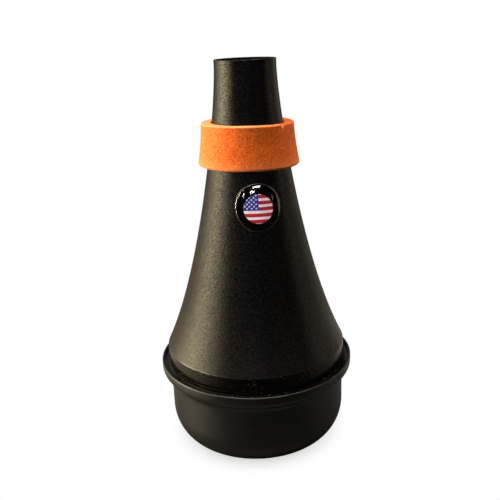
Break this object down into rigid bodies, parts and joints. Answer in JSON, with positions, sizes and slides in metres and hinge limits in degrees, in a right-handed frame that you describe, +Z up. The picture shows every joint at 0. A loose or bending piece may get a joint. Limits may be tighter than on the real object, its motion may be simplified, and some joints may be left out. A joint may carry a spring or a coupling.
{
  "type": "trumpet straight mute",
  "caption": "Black straight mute for a trumpet: a flared spun cone bonded into a lipped end cup, with an orange foam ring round its neck and a domed badge.",
  "frame": {"origin": "centre of the end cup's flat bottom, the face that the mute stands on", "axes": "+Z up the mute's turning axis to its open mouth, -Y towards the badge, +X to the right of someone who faces the badge"},
  "size_m": [0.1, 0.1, 0.1938],
  "materials": {
    "cone_coating": "fine textured black powder coat, satin",
    "cup_paint": "smooth satin black paint",
    "sealant": "black sealing glue, half gloss",
    "orange_foam": "closed cell foam rubber, matte, fine pores",
    "contact_glue": "dried contact glue",
    "badge_glue": "double sided film",
    "badge_black": "black vinyl under resin",
    "badge_ink": "printed vinyl, red, white and blue",
    "clear_resin": "clear domed resin"
  },
  "bodies": {
    "root": {"cone_body": "cone_coating", "end_cup": "cup_paint", "cup_sealing_bead": "sealant", "bell_ring": "orange_foam", "ring_glue_film": "contact_glue", "badge_glue_film": "badge_glue", "badge_backing": "badge_black", "badge_print": "badge_ink", "badge_dome": "clear_resin"}
  },
  "joints": []
}
